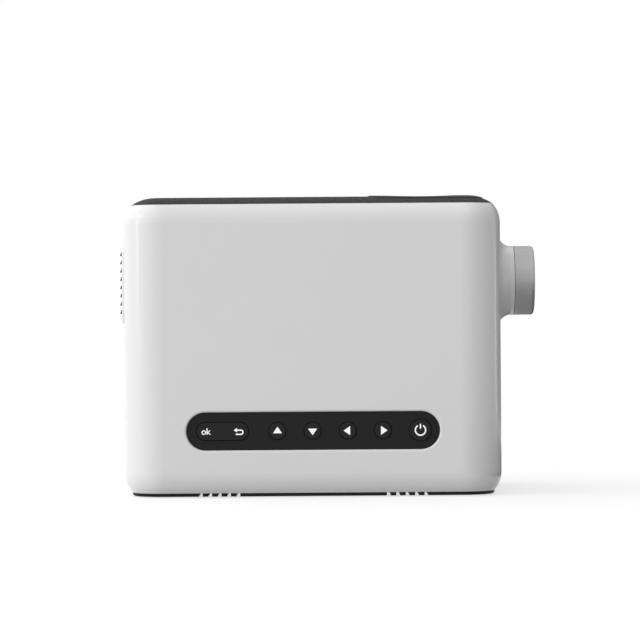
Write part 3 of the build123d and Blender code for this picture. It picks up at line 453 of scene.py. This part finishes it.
# The return arrow near its right end: a bar with a head, a half-round bend and a bar back.
bend_r = 0.00150
bend_line = 0.00072
upper_bar = 0.0021
lower_bar = 0.0028
head_half = 0.00125
head_len = 0.0018
bend_in = 0.0042         # from the rocker's end to the bend's centre
bend_drop = 0.0005
bpy.ops.object.select_all(action="DESELECT")
bpy.ops.mesh.primitive_circle_add(vertices=48, radius=bend_r, fill_type="NOTHING")
back = bpy.context.object
back.name = "mark_return"
bpy.ops.object.mode_set(mode="EDIT")
pick(lambda spot: spot.x < -same_spot)
bpy.ops.mesh.delete(type="VERT")
bpy.ops.mesh.select_all(action="SELECT")
pull()
stretch(1 - bend_line / bend_r, 1 - bend_line / bend_r)
pick(lambda spot: spot.x < same_spot and spot.y < 0)
pull(x=-lower_bar)
pick(lambda spot: abs(spot.x) < same_spot and spot.y > 0)
pull(x=-upper_bar)
pull()
stretch(1, 2 * head_half / bend_line, (-upper_bar, bend_r - bend_line / 2, 0))
pull(x=-head_len)
bpy.ops.mesh.merge(type="CENTER")
print_mark(back, "key_ok_back", shift=(rocker_half - bend_in, -bend_drop))

# ---- Key switches and their board ------------------------------------------------------
# Seven tact switches with steel caps and black plungers stand on a narrow green board
# that hangs on the panel's four pillars.


def spread(flow):
    """The point's X, Y and Z, each as a value."""
    return [flow.node("ShaderNodeSeparateXYZ", None, {0: place(flow)}, axis) for axis in "XYZ"]


def off_axis(flow, first, second, centre):
    """Distance from a line that runs through the centre, square to both values."""
    a, b = first - centre[0], second - centre[1]
    return flow.maths("SQRT", a * a + b * b)


def two_finishes(name, split, first, second, relief):
    """One moulding in two finishes. Each is a colour, its shade, metal and roughness."""
    material, flow = start_finish(name)
    mask = split(flow)
    stain = noise(flow, 600, 3)
    shades = [tint(flow, stain, [c * part[1] for c in part[0]], part[0]) for part in (first, second)]
    close_finish(
        flow,
        Base_Color=tint(flow, mask, *shades),
        Metallic=mask * (second[2] - first[2]) + first[2],
        Roughness=mask * (second[3] - first[3]) + stain * 0.12 + first[3],
        Normal=bump(flow, noise(flow, 3000), relief),
    )
    return material


cap_steel = ((0.6, 0.6, 0.6), 0.8, 1, 0.3)
plunger_black = ((0.02, 0.02, 0.02), 0.7, 0, 0.45)
plunger_out = 0.0004     # a plunger's end, out of its cap
plunger_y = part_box("key_switches")[0].y + plunger_out
dress(two_finishes("switch_cap", lambda flow: spread(flow)[1] < plunger_y,
                   cap_steel, plunger_black, 0.00001), "key_switches")


def circuit_board(name, axis, skin):
    """Green board with tracks and pads. What stands beyond its skin is black resin."""
    track_pitch = 0.0014
    track_wide = 0.00026
    material, flow = start_finish(name)
    axes = spread(flow)
    parts = axes[axis] > skin
    others = [value for i, value in enumerate(axes) if i != axis]
    lanes = [flow.maths("PINGPONG", value, track_pitch / 2) < track_wide / 2 for value in others]
    region = noise(flow, 160, 1)
    tracks = flow.maths("MAXIMUM", lanes[0] * (region > 0.52), lanes[1] * (region < 0.48))
    pads = flow.node("ShaderNodeTexVoronoi", None, {"Vector": place(flow), "Scale": 380}) < 0.2
    green = tint(flow, tracks, (0.006, 0.075, 0.022), (0.012, 0.15, 0.04))
    tinned = tint(flow, pads, green, (0.55, 0.55, 0.53))
    resin = tint(flow, noise(flow, 900), (0.012, 0.012, 0.013), (0.03, 0.03, 0.032))
    close_finish(
        flow,
        Base_Color=tint(flow, parts, tinned, resin),
        Metallic=pads * (1 - parts) * 0.9,
        Roughness=0.32 + parts * 0.2 + pads * 0.05,
        Normal=bump(flow, tracks + pads, 0.00003),
    )
    return material


no_skin = 1.0            # no chips stand on this board, so its skin lies far off
dress(circuit_board("key_board_green", 1, no_skin), "key_board")

# ---- Middle deck and disc drive case ---------------------------------------------------
# A grey moulded deck on four legs carries the drive. The drive's case is folded from
# galvanised sheet, whose zinc has crystallised in patches, and its rails are plain steel.


def moulded_grey(name, grey, rough):
    material, flow = start_finish(name)
    flow_marks = noise(flow, 28, 5)
    grain = noise(flow, 2400)
    close_finish(
        flow,
        Base_Color=tint(flow, flow_marks, (grey * 0.85, grey * 0.85, grey * 0.87), (grey * 1.1,) * 3),
        Roughness=grain * 0.1 + rough,
        Normal=bump(flow, grain, 0.00003),
    )
    return material


def galvanised(name):
    material, flow = start_finish(name)
    patch = flow.node("ShaderNodeTexVoronoi", None, {"Vector": place(flow), "Scale": 140}, "Color")
    shade = flow.node("ShaderNodeSeparateColor", None, {0: patch})
    brush = noise(flow, 1500, 3)
    close_finish(
        flow,
        Base_Color=tint(flow, shade, (0.46, 0.47, 0.49), (0.66, 0.67, 0.68)),
        Metallic=1.0,
        Roughness=shade * 0.2 + brush * 0.08 + 0.26,
        Normal=bump(flow, brush, 0.00001),
    )
    return material


dress(moulded_grey("deck_grey", 0.16, 0.55), "mid_deck", "engine_cradle")
dress(galvanised("case_zinc"), "drive_case")
dress(turned_metal("rail_steel", (0.62, 0.62, 0.63), 0.24, "Y", 260), "slide_rails")

# ---- Disc tray -------------------------------------------------------------------------
# Black grained moulding with a round well for the disc. The well's floor is finer than
# the rim, as it comes from a turned core.
hub = middle("turntable")[:2]
well_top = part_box("disc_tray")[1].z - 0.001         # the well's floor lies lower


def ridges(flow, along, pitch):
    """Ridges side by side: goes from 0 up to 1 and back to 0 within each pitch."""
    return flow.maths("PINGPONG", along, pitch / 2) * (2 / pitch)


def tray_plastic(name):
    material, flow = start_finish(name)
    x, y, z = spread(flow)
    turned = ridges(flow, off_axis(flow, x, y, hub), 0.0008)
    grain = noise(flow, 2300)
    floor = z < well_top
    relief = turned * floor + grain * (1 - floor)
    close_finish(
        flow,
        # Painted shade on the well's floor: the turning rings are painted darker in their grooves. On the
        # rim the grain is random tone.
        Base_Color=tint(flow, relief, (0.012, 0.012, 0.013), (0.022, 0.022, 0.023)),
        Roughness=0.5 - floor * 0.12 + grain * 0.08,
        Normal=bump(flow, relief, 0.00002),
    )
    return material


dress(tray_plastic("tray_black"), "disc_tray")

# ---- Spindle, turntable and pickup -----------------------------------------------------
# A flat motor turns the black turntable, whose rubber ring grips the disc. The pickup is
# a zinc casting that a lead screw draws along two ground rods.
grip_r = (0.0076, 0.0142)
grip_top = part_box("turntable")[1].z - 0.002         # the rubber lies lower


def on_grip(flow):
    """Test for a finish: on the rubber ring, round the nose that centres the disc."""
    x, y, z = spread(flow)
    r = off_axis(flow, x, y, hub)
    return (r > grip_r[0]) * (r < grip_r[1]) * (z < grip_top)


table_black = ((0.014, 0.014, 0.015), 0.8, 0, 0.22)
grip_rubber = ((0.05, 0.048, 0.046), 0.7, 0, 0.8)
dress(two_finishes("turntable_grip", on_grip, table_black, grip_rubber, 0.00002), "turntable")
dress(turned_metal("motor_steel", (0.58, 0.58, 0.6), 0.28, lines=500), "spindle_motor", "sled_motor")
dress(turned_metal("ground_steel", (0.7, 0.7, 0.71), 0.14, "DIAGONAL", 1200), "guide_rods")


def threaded_steel(name, pitch):
    """Steel with a screw thread cut along the pickup's way, shown as a relief, with painted shade in its
    groove.
    """
    material, flow = start_finish(name)
    x, y, z = spread(flow)
    thread = ridges(flow, (x + y) * math.sqrt(0.5), pitch)
    close_finish(
        flow,
        # Painted shade: the thread's groove is painted dark and its crest light.
        Base_Color=tint(flow, thread, (0.3, 0.3, 0.31), (0.66, 0.66, 0.67)),
        Metallic=1.0,
        Roughness=0.34 - thread * 0.1,
        Normal=bump(flow, thread, 0.0002),
    )
    return material


def cast_zinc(name):
    material, flow = start_finish(name)
    blast = noise(flow, 1700, 4)
    cloud = noise(flow, 150, 3)
    close_finish(
        flow,
        Base_Color=tint(flow, cloud, (0.2, 0.2, 0.21), (0.3, 0.3, 0.31)),
        Metallic=0.9,
        Roughness=blast * 0.2 + 0.4,
        Normal=bump(flow, blast, 0.00004),
    )
    return material


def coated_glass(name, colour, film=0.0):
    """Clear glass with an anti-reflection film of this thickness in nanometres."""
    material, flow = start_finish(name)
    smear = noise(flow, 120, 3)
    close_finish(
        flow,
        Base_Color=tint(flow, smear, [c * 0.96 for c in colour], colour),
        Roughness=smear * 0.03 + 0.005,
        IOR=1.52,
        Transmission_Weight=1.0,
        Thin_Film_Thickness=film,
        Thin_Film_IOR=1.38,
        Normal=bump(flow, smear, 0.000002),
    )
    return material


dress(threaded_steel("lead_thread", 0.0015), "lead_screw")
dress(cast_zinc("sled_zinc"), "pickup_sled")
dress(coated_glass("objective_glass", (0.75, 0.7, 0.95), 260), "pickup_lens")

# ---- Tray bezel and eject button -------------------------------------------------------
# The tray's front and its button are moulded in the shell's own white.
dress(glossy_white("bezel_white", 0.79), "tray_bezel", "eject_button")

# ---- Focus ring ------------------------------------------------------------------------
# Grey ring turned by hand, lacquered half-matt over a fine run of turning lines.


def lacquered_grey(name):
    material, flow = start_finish(name)
    lines = flow.node("ShaderNodeTexWave", {"bands_direction": "X"},
                      {"Vector": place(flow), "Scale": 520, "Distortion": 0.6}, 1)
    speck = noise(flow, 3400)
    close_finish(
        flow,
        Base_Color=tint(flow, speck, (0.46, 0.46, 0.465), (0.50, 0.50, 0.505)),
        Metallic=0.6,
        Roughness=lines * 0.05 + speck * 0.06 + 0.42,
        Normal=bump(flow, lines * 0.7 + speck * 0.3, 0.000008),
    )
    return material


dress(lacquered_grey("ring_grey"), "focus_ring")

# ---- Lens ------------------------------------------------------------------------------
# A black anodised barrel, ribbed inside against stray light, holds a coated glass element
# at each end. It slides in a ribbed mount.


def ribbed_black(name):
    material, flow = start_finish(name)
    rib = ridges(flow, spread(flow)[0], 0.0006)
    grain = noise(flow, 2600)
    close_finish(
        flow,
        # Painted shade: the grooves between the ribs are painted darker.
        Base_Color=tint(flow, rib, (0.004, 0.004, 0.004), (0.014, 0.014, 0.015)),
        Metallic=0.3,
        Roughness=grain * 0.1 + 0.42,
        Normal=bump(flow, rib, 0.00012),
    )
    return material


dress(ribbed_black("barrel_anodised"), "lens_barrel")
dress(coated_glass("lens_glass", (0.97, 0.98, 1.0), 210), "front_lens", "rear_lens")
dress(satin_black("mount_black", 0.012, 0.5, 2000, 0.00003), "lens_mount")

# ---- Light engine ----------------------------------------------------------------------
# A black tunnel with the lamp, its condenser, two grooved plastic lenses and the picture
# panel between them. A finned aluminium sink and a fan stand behind the lamp.


def ring_lens(name, groove):
    """Clear acrylic sheet with fine ring grooves round the lens axis."""
    material, flow = start_finish(name)
    x, y, z = spread(flow)
    saw = flow.maths("FRACT", off_axis(flow, y, z, lens_axis) * (1 / groove))
    close_finish(
        flow,
        # Faint painted shade: the glass is tinted a little darker at the low side of each groove.
        Base_Color=tint(flow, saw, (0.93, 0.95, 0.95), (0.97, 0.98, 0.98)),
        Roughness=saw * 0.05 + 0.02,
        IOR=1.49,
        Transmission_Weight=1.0,
        Normal=bump(flow, saw, 0.0001),
    )
    return material


def in_window(node, rim):
    """Test for a finish: where the point lies this far inside a node's outline across X."""
    low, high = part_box(node)

    def test(flow):
        x, y, z = spread(flow)
        inside = (y > low.y + rim) * (y < high.y - rim)
        return inside * (z > low.z + rim) * (z < high.z - rim)
    return test


lamp_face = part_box("led_module")[0].x + 0.0021      # just over the board that carries the chip
panel_frame = ((0.5, 0.5, 0.51), 0.8, 1, 0.35)
panel_glass = ((0.012, 0.014, 0.02), 0.8, 0, 0.06)
lamp_board = ((0.75, 0.75, 0.74), 0.92, 0, 0.35)
chip_yellow = ((0.85, 0.62, 0.06), 0.85, 0, 0.4)
dress(satin_black("tunnel_black", 0.009, 0.6, 1500, 0.00005), "engine_housing")
dress(ring_lens("ring_acrylic", 0.0005), "collimator_lens", "field_lens")
dress(coated_glass("condenser_glass", (0.96, 0.98, 0.97)), "condenser_lens")
dress(two_finishes("picture_panel", in_window("lcd_panel", 0.008),
                   panel_frame, panel_glass, 0.000004), "lcd_panel")
dress(two_finishes("lamp_chip", lambda flow: spread(flow)[0] > lamp_face,
                   lamp_board, chip_yellow, 0.00001), "led_module")
dress(turned_metal("sink_aluminium", (0.74, 0.75, 0.76), 0.3, "Y", 180), "heat_sink")
dress(satin_black("fan_black", 0.016, 0.38, 2200, 0.00002), "fan_frame", "fan_rotor")

# ---- Boards and loudspeakers -----------------------------------------------------------
# Green boards on posts, with black chips, coils and capacitors, and two small
# loudspeakers with paper cones that face the slots in the bottom.
board_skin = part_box("main_board")[0].z + 0.0017     # just over the board's upper side
dress(circuit_board("board_green", 2, board_skin), "main_board", "power_board")
rim_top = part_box("speakers")[0].z + 0.0021          # and over the loudspeakers' rims
rim_black = ((0.03, 0.03, 0.03), 0.7, 0, 0.6)
cone_paper = ((0.05, 0.048, 0.045), 0.7, 0, 0.8)
dress(two_finishes("speaker_cone", lambda flow: spread(flow)[2] > rim_top,
                   rim_black, cone_paper, 0.00006), "speakers")

# ---- Port plate and sockets ------------------------------------------------------------
# A black plate at the back frames two nickel-plated sockets, two audio jacks and the
# mains inlet, whose pins are bare metal.
dress(satin_black("port_black", 0.013, 0.46, 2600, 0.00002), "port_plate")


def tongue(node, half_wide, half_high, rise):
    """Test for a finish: the plastic tongue inside a socket, this far above its middle."""
    mid_y, mid_z = middle(node)[1:]

    def test(flow):
        x, y, z = spread(flow)
        near_y = flow.maths("ABSOLUTE", y - mid_y) < half_wide
        return near_y * (flow.maths("ABSOLUTE", z - (mid_z + rise)) < half_high)
    return test


def near_lines(spots, radius):
    """Test for a finish: within a radius of lines that run along X through these spots."""
    def test(flow):
        x, y, z = spread(flow)
        found = [off_axis(flow, y, z, spot) < radius for spot in spots]
        return flow.maths("MAXIMUM", *found)
    return test


nickel = ((0.66, 0.65, 0.62), 0.82, 1, 0.2)
resin_black = ((0.014, 0.014, 0.015), 0.75, 0, 0.45)
flat_tongue = tongue("video_socket", 0.0056, 0.0006, 0.0004)
dress(two_finishes("socket_flat", flat_tongue, nickel, resin_black, 0.000008), "video_socket")
square_tongue = tongue("data_socket", 0.0056, 0.001, 0.0011)
dress(two_finishes("socket_square", square_tongue, nickel, resin_black, 0.000008), "data_socket")


def pair_across(node, apart):
    """Two spots this far apart along Y, at the middle of a node."""
    mid_y, mid_z = middle(node)[1:]
    return [(mid_y + side * apart / 2, mid_z) for side in (-1, 1)]


jack_bores = near_lines(pair_across("audio_jacks", 0.011), 0.0019)
dress(two_finishes("jack_black", jack_bores, resin_black, nickel, 0.00001), "audio_jacks")
pins = near_lines(pair_across("power_inlet", 0.0086), 0.00125)
dress(two_finishes("inlet_black", pins, resin_black, nickel, 0.00001), "power_inlet")

# ---- Receiver window -------------------------------------------------------------------
# Round window in deep red resin, nearly black, that passes the remote control's light.


def dark_red(name):
    material, flow = start_finish(name)
    cloud = noise(flow, 300, 3)
    close_finish(
        flow,
        Base_Color=tint(flow, cloud, (0.012, 0.002, 0.003), (0.03, 0.004, 0.006)),
        Roughness=cloud * 0.05 + 0.06,
        Coat_Weight=0.6,
        Normal=bump(flow, cloud, 0.000004),
    )
    return material


dress(dark_red("window_red"), "ir_window")

# ---- Studio ----------------------------------------------------------------------------
# A pale floor, and soft light all round that is brighter from the upper left. Lamps far to
# the sides draw the thin highlights down the shell's rounded edges, and felt cards that
# only reflections show give its right edge, the collar and the focus ring their shade.
sky_level = 0.75         # the light from straight ahead and from behind
sky_above = 0.5          # more of it from above, and less from below
sky_corner = 0.35        # less of it where right and above meet
sky_least = 0.04
studio = bpy.data.worlds.new("studio")
bpy.context.scene.world = studio
studio.use_nodes = True
studio.node_tree.nodes.clear()
sky = Flow(studio.node_tree)


def seen_plainly(flow):
    """1 for rays from the camera, a gloss or a glass, and 0 for those that light things."""
    rays = [flow.node("ShaderNodeLightPath", output=kind)
            for kind in ("Is Camera Ray", "Is Glossy Ray", "Is Transmission Ray")]
    return flow.maths("MAXIMUM", rays[0], flow.maths("MAXIMUM", rays[1], rays[2]))


toward = sky.node("ShaderNodeTexCoord", output="Generated")
right, above = [sky.node("ShaderNodeSeparateXYZ", None, {0: toward}, axis) for axis in "XZ"]
corner = sky.maths("MAXIMUM", right, 0.0) * sky.maths("MAXIMUM", above, 0.0)
lit = sky.maths("MAXIMUM", sky_level - right + above * sky_above - corner * sky_corner, sky_least)
light = sky.node("ShaderNodeBackground", None, {"Color": (1, 1, 1, 1), "Strength": lit})
backdrop = sky.node("ShaderNodeBackground", None, {"Color": (1, 1, 1, 1), "Strength": 1.0})
whole = sky.node("ShaderNodeMixShader", None, {0: seen_plainly(sky), 1: light, 2: backdrop})
sky.node("ShaderNodeOutputWorld", None, {"Surface": whole})


def floor_paper(name):
    """White paper that throws back less light to the right of the lens end."""
    fade_from = 0.0875
    fade_over = 0.125
    white_share = 0.65       # of plain white in what the camera sees
    material, flow = start_finish(name)
    fibre = noise(flow, 30, 4)
    plain = tint(flow, fibre, (0.965, 0.965, 0.965), (0.985, 0.985, 0.985))
    seen = seen_plainly(flow)
    fade = (spread(flow)[0] - fade_from) * (1 / fade_over)
    far_right = flow.maths("MINIMUM", flow.maths("MAXIMUM", fade, 0.0), 1.0)
    bounce = tint(flow, far_right, (0.5, 0.5, 0.5), (0.36, 0.36, 0.36))
    sheet = flow.node("ShaderNodeBsdfDiffuse", None, {"Color": tint(flow, seen, bounce, plain)})
    white = flow.node("ShaderNodeEmission", None, {"Color": (1, 1, 1, 1), "Strength": 1.0})
    blend = flow.node("ShaderNodeMixShader", None, {0: seen * white_share, 1: sheet, 2: white})
    flow.node("ShaderNodeOutputMaterial", None, {"Surface": blend})
    return material


bpy.ops.object.select_all(action="DESELECT")
bpy.ops.mesh.primitive_plane_add(size=14)
floor = bpy.context.object
floor.name = "studio_floor"
floor.data.materials.append(floor_paper("floor_paper"))

aim_z = 0.085            # half way up the shell


def strip_lamp(name, spot, wide, tall, watts):
    """A soft lamp that looks at the middle of the shell."""
    lamp = bpy.data.objects.new(name, bpy.data.lights.new(name, "AREA"))
    bpy.context.scene.collection.objects.link(lamp)
    lamp.data.shape = "RECTANGLE"
    lamp.data.size = wide
    lamp.data.size_y = tall
    lamp.data.energy = watts
    lamp.location = spot
    aim = lamp.location.copy()
    aim.z -= aim_z
    lamp.rotation_euler = aim.to_track_quat("Z", "Y").to_euler()
    lamp.visible_camera = False


strip_lamp("lamp_left", (-1.17, -0.27, 0.27), 0.03, 0.37, 0.5)
strip_lamp("lamp_right", (1.1, 0.5, 0.02), 0.03, 0.3, 0.2)
strip_lamp("lamp_corner", (-1.14, -0.36, 0.66), 0.50, 0.14, 0.55)
strip_lamp("lamp_front", (0.37, -0.78, 1.07), 0.16, 0.10, 0.4)


def felt(name, grey):
    material, flow = start_finish(name)
    nap = noise(flow, 900, 3)
    close_finish(
        flow,
        Base_Color=tint(flow, nap, (grey,) * 3, (grey * 1.3,) * 3),
        Roughness=nap * 0.1 + 0.85,
    )
    return material


def felt_card(name, grey, spot, wide, deep, tilt):
    """A card that reflections show, and that neither the camera nor the light meets."""
    bpy.ops.object.select_all(action="DESELECT")
    bpy.ops.mesh.primitive_plane_add(size=1, location=spot, rotation=(tilt, 0, 0))
    card = bpy.context.object
    card.name = name
    card.scale = (wide, deep, 1)
    bpy.ops.object.transform_apply(location=True, rotation=True, scale=True)
    card.data.materials.append(felt(name + "_felt", grey))
    card.visible_camera = False
    card.visible_diffuse = False
    card.visible_shadow = False
    card.visible_transmission = False


felt_card("card_behind", 0.26, (0.735, 0.9, 0.38), 1.73, 0.76, math.pi / 2)
felt_card("card_low", 0.05, (0.40, -0.25, 0.003), 0.56, 1.5, 0)

# ---- Camera ----------------------------------------------------------------------------
# Level and far off, at the height of the shell's middle, with a long lens.
camera = bpy.data.objects.new("camera", bpy.data.cameras.new("camera"))
bpy.context.scene.collection.objects.link(camera)
camera.data.sensor_width = 36
camera.data.lens = 170.9
camera.data.clip_start = 0.05
camera.data.clip_end = 50
camera.location = (-0.0049, -1.750, 0.0978)
camera.rotation_euler = (math.pi / 2, math.radians(0.41), 0)
bpy.context.scene.camera = camera
bpy.context.scene.view_settings.view_transform = "Standard"
